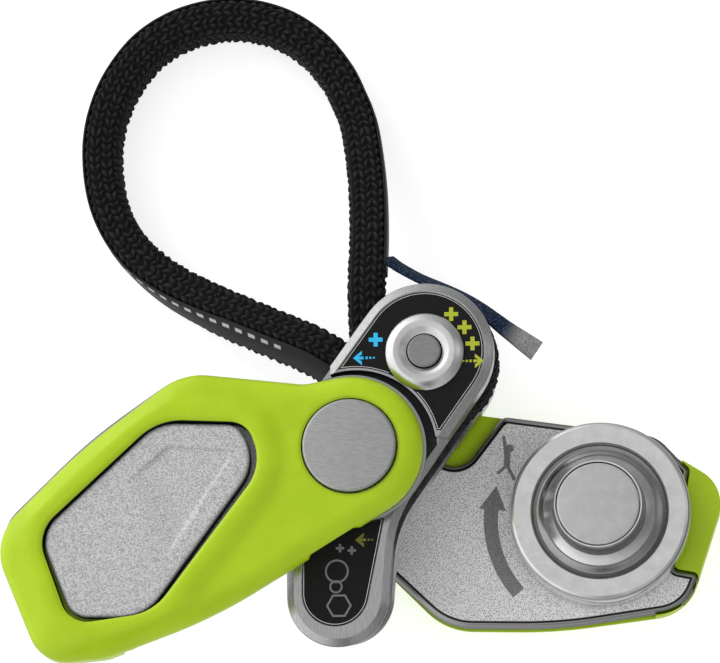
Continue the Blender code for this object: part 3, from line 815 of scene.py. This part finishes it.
def lug(outline, plate_outline, start):
    """Solid end of a cover, beyond the end of the metal plate."""
    rings = [(0.3, LUG_LOW), (0.12, LUG_LOW + 0.1), (0.04, LUG_LOW + 0.35), (0.03, COVER_LOW + 1.0)]
    body = loft("lug", outline, rings, GREEN)
    cut(body, box((start, -40, LUG_LOW - 1), (100, 40, COVER_LOW + 0.9), GREEN), 'INTERSECT')
    cut(body, loft("plate_room", plate_outline, [(-0.3, LUG_LOW - 2), (-0.3, COVER_LOW + 0.02)], GREEN))
    return body


def shell(side, angle, outline, notch, lug_start, rear):
    """One shell: cover, metal plate and pad."""
    body = side + "_shell"
    # The window's wall gets the near-black material: painted shade in the gap round the pad.
    cover = field(side + "_cover_shell", outline, cover_height, COVER_LOW, [GREEN, PAINTED_SHADE], EDGE_RINGS,
                  [(WINDOW, [0, 0.1, 0.35, 0.8, 1.3, 2.3, 3.4]),
                   ([(DISC_R + DISC_GAP,)], [0, 0.12, 0.35, 0.8])], angle=angle, rear=rear, wall_mat=1)
    # The end of the sling pin passes under the cover's edge as the shells close.
    reach = math.hypot(*PIN_AT)
    swings = [math.atan2(PIN_AT[1], PIN_AT[0]) + math.radians(swing - REAR_ANGLE) for swing in (0, 6, 12)]
    path = [(reach * math.cos(a), reach * math.sin(a), RING_R + 0.7) for a in swings]
    cut(cover, loft("pin_relief", path, [(0, COVER_LOW - 1), (0, COVER_LOW + 2.4)], GREEN, angle, rear))
    end = lug(outline, PLATE + notch, lug_start)
    settle(end, angle, rear)
    joined(cover, end)
    cover.data.set_sharp_from_angle(angle=math.radians(40))
    shown(cover, body, "shell_green", side + "_cover")

    # The plate's worked face looks into the device, so it is turned inside out as it is made.
    def plate_height(x, y, edge):
        return PLATE_LOW + fade(edge, 1.1) ** 1.6

    plate = field(side + "_metal_plate", PLATE + notch, plate_height, PLATE_HIGH, [PLATE_MAT],
                  [0, 0.12, 0.3, 0.55, 0.85, 1.1], [([(PLATE_BORE,)], [0, 0.3])], grid=1.6,
                  angle=angle, rear=rear)
    plate.data.flip_normals()
    shown(plate, body, "plate_blasted", side + "_plate")

    def pad_height(x, y, edge):
        ledge = inside(np.stack([x, y], axis=1), belt(LEDGE, 0, 10.0))
        step = 0.65 * smoothstep(-LEDGE_BLEND, LEDGE_BLEND, ledge) * (1 - smoothstep(42.0, 52.0, x))
        return PAD_FACE - step - 0.8 * rounding(edge, 0.9)

    steps = [resampled(belt(LEDGE, inset, 10.0), 1.5) for inset in (-LEDGE_BLEND, 0, LEDGE_BLEND)]
    wide_pad = [(x, y, r + PAD_GROWTH) for x, y, r in PAD]
    # The pad's outer wall gets the near-black material: painted shade in the gap to the cover.
    pad = field(side + "_blasted_pad", wide_pad, pad_height, COVER_LOW, [PAD_MAT, PAINTED_SHADE],
                [0, 0.06, 0.2, 0.45, 0.9], angle=angle, rear=rear, grid=1.0, wall_mat=1, lines=steps)
    shown(pad, body, "plate_blasted", side + "_pad")


shell("front", FRONT_ANGLE, FRONT_COVER, FRONT_NOTCH, FRONT_LUG_START, False)
shell("rear", REAR_ANGLE, REAR_COVER, REAR_NOTCH, REAR_LUG_START, True)


def cheek(side, outline, stop_y, rear):
    """One cheek of the arm: a lower plate with a wide chamfer, and the raised sling end on it."""
    low_part = loft(side + "_cheek", outline, [(0.6, CHEEK_INNER), (0, CHEEK_INNER + 0.6), (0, 29.6),
                                               (0.15, 29.9), (1.55, 30.95), (1.75, CHEEK_FLOOR)], ARM_MAT)
    high = loft("raised", outline, [(0.3, 28.9), (-0.01, 29.2), (-0.01, 33.7), (0.12, 34.0), (1.8, 34.9),
                                    (1.95, CHEEK_TOP)], ARM_MAT)
    # The recess round the hub gets the near-black material on its wall and floor: painted shade.
    hole(high, RECESS_R, CHEEK_FLOOR, 40, PAINTED_SHADE, RECESS_AT)
    cut(high, box((-30, stop_y, 20), (60, 60, 40), ARM_MAT), 'INTERSECT')
    cut(high, box((-40, -10, CHEEK_FLOOR), (-5, 40, 40), ARM_MAT))
    cut(low_part, high, 'UNION')
    recess = rod(RECESS_R + 0.02, CHEEK_FLOOR - 0.1, 40, PAINTED_SHADE, RECESS_AT, 120)
    cut(low_part, cut(recess, box((-40, stop_y - 8, 20), (40, 40, 50), PAINTED_SHADE), 'INTERSECT'))
    hole(low_part, SLEEVE_R + CLEARANCE, 0, 40, ARM_MAT)
    hole(low_part, PIN_R + CLEARANCE, 0, 40, ARM_MAT, PIN_AT)
    for at in NOSE_PINS:
        hole(low_part, NOSE_PIN_R, 0, 40, ARM_MAT, at, 32)
    panels = []
    for place, face, shape, border in (("upper", CHEEK_TOP, outline, UPPER_BORDER),
                                       ("lower", CHEEK_FLOOR, INLAY_FIELD, 0.0)):

        def layer(name, mat, *levels):
            return loft(name, shape, [(border + inset, face + z) for inset, z in levels], mat)

        bevel = layer("bevel", ARM_MAT, (0, -0.2), (-0.22, 0), (-0.22, 1))
        # The pocket round each inlay gets the near-black material: a painted shade gap.
        pocket = layer("pocket", PAINTED_SHADE, (0, -0.6), (0, 1))
        # The thin rim round each inlay takes the brighter metal: a painted edge highlight.
        skin = layer(side + "_panel_" + place, HIGHLIGHT_EDGE_MAT, (0.28, -0.55), (0.28, -0.2))
        panel = layer("panel", INLAY, (0.42, -0.3), (0.42, -INLAY_SINK))
        for piece, room, ring_room in ((bevel, -0.2, -0.1), (pocket, 0.0, 0.0), (skin, 0.28, 0.5),
                                       (panel, 0.42, 0.1)):
            if place == "upper":
                hole(piece, INLAY_R + room, face - 3, face + 3, INLAY, RECESS_AT)
                hole(piece, RING_R + ring_room, face - 3, face + 3, INLAY, PIN_AT)
                keep = (-40, stop_y + 1.5 + room, face - 3), (60, 60, face + 3)
            else:
                keep = (-40, -60, face - 3), (60, -10, face + 3)
            cut(piece, box(*keep, INLAY), 'INTERSECT')
        cut(low_part, bevel)
        cut(low_part, pocket)
        panels.append(joined(skin, panel))
    if rear:
        for piece in (low_part, *panels):
            settle(piece, 0.0, True)
    return low_part, panels


def printed(outlines, face, mat):
    """Paint marks on an inlay."""
    return slab("marks", outlines, face - INLAY_SINK - 0.05, face - INLAY_SINK + 0.03, mat)


for side, outline, stop_y, rear in (("front", FRONT_ARM, FRONT_STOP_Y, False),
                                   ("rear", REAR_ARM, REAR_STOP_Y, True)):
    plate, (upper, lower) = cheek(side, outline, stop_y, rear)
    shown(plate, "arm", "arm_metal", "arm_" + side + "_cheek")
    if side == "front":
        blue = [plus(5.82, 26.3, 3.3, 1.0)] + dashed_arrow(5.55, 21.95, 5.1, -1)
        lime = [plus(x, y, 3.3, 1.0) for x, y in ((23.77, 32.16), (26.92, 28.94), (28.8, 24.99))]
        lime += dashed_arrow(26.46, 20.8, 5.0, 1)
        joined(upper, printed(blue, CHEEK_TOP, BLUE), printed(lime, CHEEK_TOP, LIME))
        figure = []
        for radius, at, sides in ((2.6, (-3.7, -28.4), 40), (1.35, (-3.9, -32.1), 30), (2.8, (-3.2, -36.6), 6)):
            ring = circle(radius, at, sides)
            figure += stroke(ring + ring[:1], 0.45)
        figure += [plus(-2.96, -22.92, 2.0, 0.6), plus(-0.18, -23.49, 2.0, 0.6)]
        joined(lower, printed(figure, CHEEK_FLOOR, GREY),
               printed(dashed_arrow(4.8, -21.0, 4.2, -1), CHEEK_FLOOR, DIM_LIME))
    shown(upper, "arm", "inlay_black", side + "_inlay_upper")
    shown(lower, "arm", "inlay_black", side + "_inlay_lower")

low_inner = STACK - CHEEK_INNER
nose = loft("nose_block", NOSE, [(0.5, low_inner + 0.3), (0, low_inner + 0.8), (0, CHEEK_INNER - 0.8),
                                 (0.5, CHEEK_INNER - 0.3)], ARM_MAT)
for at in NOSE_PINS:
    hole(nose, NOSE_PIN_R, 0, 40, ARM_MAT, at, 32)
shown(nose, "arm", "arm_metal", "arm_nose_block")


def raised(base, *profile):
    """A profile whose heights are counted from base."""
    return [(radius, base + height) for radius, height in profile]


ring_profile = raised(COVER_LOW - 0.2, (4.3, -0.3), (RING_R - 0.1, -0.3), (RING_R, -0.22), (RING_R, -0.12),
                      (RING_R - 0.2, 0.12), (7.5, 1.3), (7.3, 1.38), (6.0, 1.35), (5.85, 1.3), (4.75, 0.5),
                      (4.3, 0.35))
for ring, rear in (("pin_ring_front", False), ("pin_ring_rear", True)):
    shown(turned(ring + "_turned", ring_profile, RING_MAT, PIN_AT, rear), "arm", "turned_steel", ring)
pin_profile = raised(STACK - PIN_END, (0, 0), (3.6, 0), (3.95, 0.3))
pin_profile += raised(PIN_END, (3.95, -0.3), (3.6, 0), (0, 0))
shown(turned("sling_pin_round", pin_profile, PIN_MAT, PIN_AT, sides=72), "arm", "pin_steel", "sling_pin")
bolt = [(0, 2.2), (5.0, 2.2), (5.0, 39.4), (DISC_R, 39.4), (DISC_R, 40.75), (DISC_R - 0.12, 40.95),
        (DISC_R - 0.45, 41.15), (DISC_R - 0.8, 41.2), (0, 41.2)]
shown(turned("pivot_bolt_head", bolt, FACE_MAT), "arm", "pin_steel", "pivot_bolt")
cap = [(0, 0), (DISC_R - 0.8, 0), (DISC_R - 0.3, 0.15), (DISC_R, 0.45), (DISC_R, 1.8), (0, 1.8)]
shown(turned("pivot_cap_round", cap, FACE_MAT), "arm", "pin_steel", "pivot_cap_rear")

drum = raised(10.2, (4.3, 0), (DRUM_R - 0.6, 0), (DRUM_R - 0.15, 0.25), (DRUM_R, 0.7))
drum += raised(DRUM_FACE, (DRUM_R, -1.6), (DRUM_R - 0.2, -0.8), (DRUM_R - 0.55, -0.3), (DRUM_R - 1.1, 0),
               (16.45, 0), (16.3, -0.1), (15.7, -0.75), (15.0, -0.95), (14.6, -0.8), (13.5, 0.1),
               (13.45, -0.2), (13.25, -0.2), (13.2, 0.25), (11.05, 2.4), (10.95, 2.6), (10.9, 6.6))
drum += raised(DRUM_TOP, (10.45, -0.15), (10.35, 0), (10.1, 0), (10.0, -0.1))
drum += [(10.0, CAP_Z - 2.0), (5.2, CAP_Z - 2.0), (5.2, 19.0), (4.3, 19.0)]
shown(turned("rope_drum_turned", drum, DRUM_MAT, DRUM_AT, sides=160, angle=REAR_ANGLE), "rear_shell",
      "turned_steel", "rope_drum")
button = [(0, CAP_Z), (9.8, CAP_Z)]
button += raised(DRUM_TOP, (9.8, -0.3), (9.65, -0.1), (9.4, -0.02), (9.2, 0), (0, 0))
shown(turned("hub_button_turned", button, BUTTON_MAT, DRUM_AT, sides=96, angle=REAR_ANGLE), "button",
      "turned_steel", "hub_button")
seat = raised(PLATE_LOW, (0, 1.2), (CAP_R + 0.5, 1.2), (CAP_R + 0.9, 0), (SEAT_R - 0.2, 0), (SEAT_R, 0.2))
seat += [(SEAT_R, PLATE_HIGH), (0, PLATE_HIGH)]
shown(turned("hub_seat_turned", seat, RING_MAT, DRUM_AT, sides=96, angle=FRONT_ANGLE), "front_shell",
      "turned_steel", "front_hub_seat")

# The engraved arrow about the drum, on the rear plate, and a plain figure on a rope beside it.
centre = turn_points([DRUM_AT], REAR_ANGLE)[0]


def about_drum(radius, degrees):
    a = math.radians(degrees)
    return (centre[0] + radius * math.cos(a), centre[1] + radius * math.sin(a))


arc = np.linspace(*ARROW_SPAN, 25)
arrow = [about_drum(28.3, a) for a in arc] + [about_drum(24.9, a) for a in arc[::-1]]
arrow += [about_drum(23.1, ARROW_SPAN[0]), about_drum(26.6, 161.5), about_drum(29.6, ARROW_SPAN[0])]
face = STACK - PLATE_LOW
figure = [arrow, circle(0.95, (36.0, 4.3), 24)]
figure += stroke([(34.6, 7.0), (35.3, 1.0)], 0.8) + stroke([(35.4, 3.2), (35.3, 0.2)], 1.5)
figure += stroke([(33.3, -1.6), (35.3, 0.2), (37.0, -3.2)], 0.8)
shown(slab("plate_arrow", figure, face - 0.04, face + 0.02, ENGRAVED), "rear_shell", "plate_blasted")

# ---- the sling ----

def leans(route, turns):
    """The strap's turn at each point of its route."""
    return np.interp(np.linspace(0, 1, len(route)), *turns)


route = smooth_route(SLING_ROUTE, 0.33)
sling = knitted("sling_knit", route, STRAP_T, STRAP_W, 1.9, YARN, 12, lean=leans(route, SLING_LEAN))
shown(sling, "arm", "sling_black", "sling_loop")
eye_middle = (BUSH_R + CLEARANCE + EYE_R) / 2
eye_route = np.array([(PIN_AT[0] + eye_middle * math.cos(a), PIN_AT[1] + eye_middle * math.sin(a), STACK / 2)
                      for a in np.radians(np.linspace(*EYE_SPAN, 200))])
eye = knitted("sling_eye_knit", eye_route, EYE_R - BUSH_R - 0.5, STRAP_W, 2.2, YARN, 11)
shown(eye, "arm", "sling_black", "sling_eye")


def strip(name, route, width, thickness, mat, lean, offset=0.0, rise=0.0):
    """A flat tape along the route, offset outwards from it."""
    t, w, c = thickness / 2, width / 2, 0.1
    corners = ((t, c - w), (t, w - c), (t - c, w), (c - t, w), (-t, w - c), (-t, c - w), (c - t, -w),
               (t - c, -w))
    section = [(offset + a, rise + b) for a, b in corners]
    rings, _ = swept_rings(route, section, lean)
    verts = [tuple(p) for ring in rings for p in ring]
    obj = mesh_object(name, verts, tube_faces(len(rings), len(section)), mat, sharp=50, facing=False)
    store(obj, "along", np.repeat(np.linspace(0, 1, len(rings)), len(section)))
    store(obj, "up", np.tile([(b - rise) / width for _, b in section], len(rings)))
    return obj


whole_route = smooth_route(SLING_ROUTE, 1.0)
tape_lean = leans(whole_route, SLING_LEAN)[TAPE_RUN]
tape_piece = strip("sling_tape", whole_route[TAPE_RUN], 7.6, 0.5, TAPE, tape_lean, STRAP_T / 2 + 0.4, 0.9)
shown(tape_piece, "arm", "sling_black")
tab_points = smooth_route(TAB_ROUTE, 1.0)
tab = strip("label_tab_cloth", tab_points, 5.6, 0.8, LABEL, leans(tab_points, TAB_LEAN))
shown(tab, "arm", "label_navy", "label_tab")

path = [tuple(float(c) * MM for c in p) for p in smooth_route(SLING_ROUTE, 4.0)]

# ---- CAD pieces that stay ----

for names, mat in ((("pivot_sleeve", "thrust_washer_front", "thrust_washer_rear"), BRONZE),
                   (("sling_bush",), ARM_MAT),
                   (("nose_pin_1", "nose_pin_2", "hub_spacer_front", "hub_spacer_rear", "wave_washer_front",
                     "lock_washer_rear", "drum_washer", "drum_bolt", "hub_spring"), PIN_MAT)):
    for name in names:
        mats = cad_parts[name].data.materials
        mats.clear()
        mats.append(mat)

# ---- floor, light and camera ----

floor_mesh = bpy.data.meshes.new("floor")
floor_mesh.from_pydata([(x, y, -0.0002) for x, y in ((-6, -6), (6, -6), (6, 6), (-6, 6))], [],
                       [(0, 1, 2, 3)])
floor_mat = material("floor", 0.9, Specular_IOR_Level=0.1, Base_Color=(0.6, 0.6, 0.6, 1),
                     Emission_Strength=0.72)
white = ramp(floor_mat, noise(floor_mat, 400.0), [(0.3, 0.93), (0.7, 0.95)])
link(floor_mat, white, "Emission Color")
floor_mesh.materials.append(floor_mat)
floor = added("floor", floor_mesh)
floor.visible_glossy = False


def area(name, at, size, watts):
    """A soft light that metal doesn't mirror."""
    light = bpy.data.lights.new(name, 'AREA')
    light.shape = 'RECTANGLE'
    light.size, light.size_y = size
    light.energy = watts
    obj = added(name, light)
    obj.location = at
    obj.rotation_euler = (Vector((0, 0.03, 0.02)) - Vector(at)).to_track_quat('-Z', 'Y').to_euler()
    obj.visible_glossy = False


area("key", (-0.75, 0.6, 0.5), (1.1, 0.35), 5.0)
area("fill", (0.6, -0.3, 0.9), (0.6, 0.6), 2.1)

world = bpy.data.worlds.new("studio")
bpy.context.scene.world = world
world.use_nodes = True
background = world.node_tree.nodes["Background"]
ray = node(world, "ShaderNodeTexCoord").outputs["Generated"]
height = node(world, "ShaderNodeSeparateXYZ", {0: ray}).outputs["Z"]


def lies_along(direction):
    """How far a ray's direction lies along this one."""
    return node(world, "ShaderNodeVectorMath", {0: ray, 1: direction}, operation='DOT_PRODUCT').outputs["Value"]


# A soft room, brighter to the left, that dims below the horizon.
room = calc(world, 'ADD', lies_along((-0.42, -0.08, 0)), 0.62)
dimmed = node(world, "ShaderNodeMapRange", {"Value": height, "From Min": -0.3, "From Max": 0.0,
                                           "To Min": 0.35, "To Max": 1.0}).outputs["Result"]
level = calc(world, 'MULTIPLY', room, dimmed)
# Soft cards: lights at the upper left and right, a dark one in front, and the white table below.
for direction, amount, power in (((-0.76, 0.64, 0.1), 0.7, 6), ((0.88, 0.2, 0.43), 0.5, 40),
                                 ((0, -0.85, 0.53), -0.55, 30), ((0, 0, -1), 0.6, 3)):
    lobe = calc(world, 'POWER', calc(world, 'MAXIMUM', lies_along(direction), 0.0), power)
    level = calc(world, 'MULTIPLY_ADD', lobe, amount, level)
world.node_tree.links.new(level, background.inputs["Strength"])
background.inputs["Color"].default_value = (1, 1, 1, 1)

# The camera stands above the object, a little towards its lower right.
camera_data = bpy.data.cameras.new("camera")
camera_data.lens = 250.0
camera = added("camera", camera_data)
back = Vector((math.tan(math.radians(5.0)), -math.tan(math.radians(11.5)), 1.0)).normalized()
right = Vector((0, 1, 0)).cross(back).normalized()
up = back.cross(right)
target = Vector((0.00081, 0.03137, 0.020))
camera_at = target + back * CAMERA_DISTANCE * MM
camera.matrix_world = Matrix.Translation(camera_at) @ Matrix((right, up, back)).transposed().to_4x4()
camera_data.clip_start, camera_data.clip_end = 0.05, 20.0
bpy.context.scene.camera = camera
bpy.context.scene.view_settings.view_transform = 'Standard'
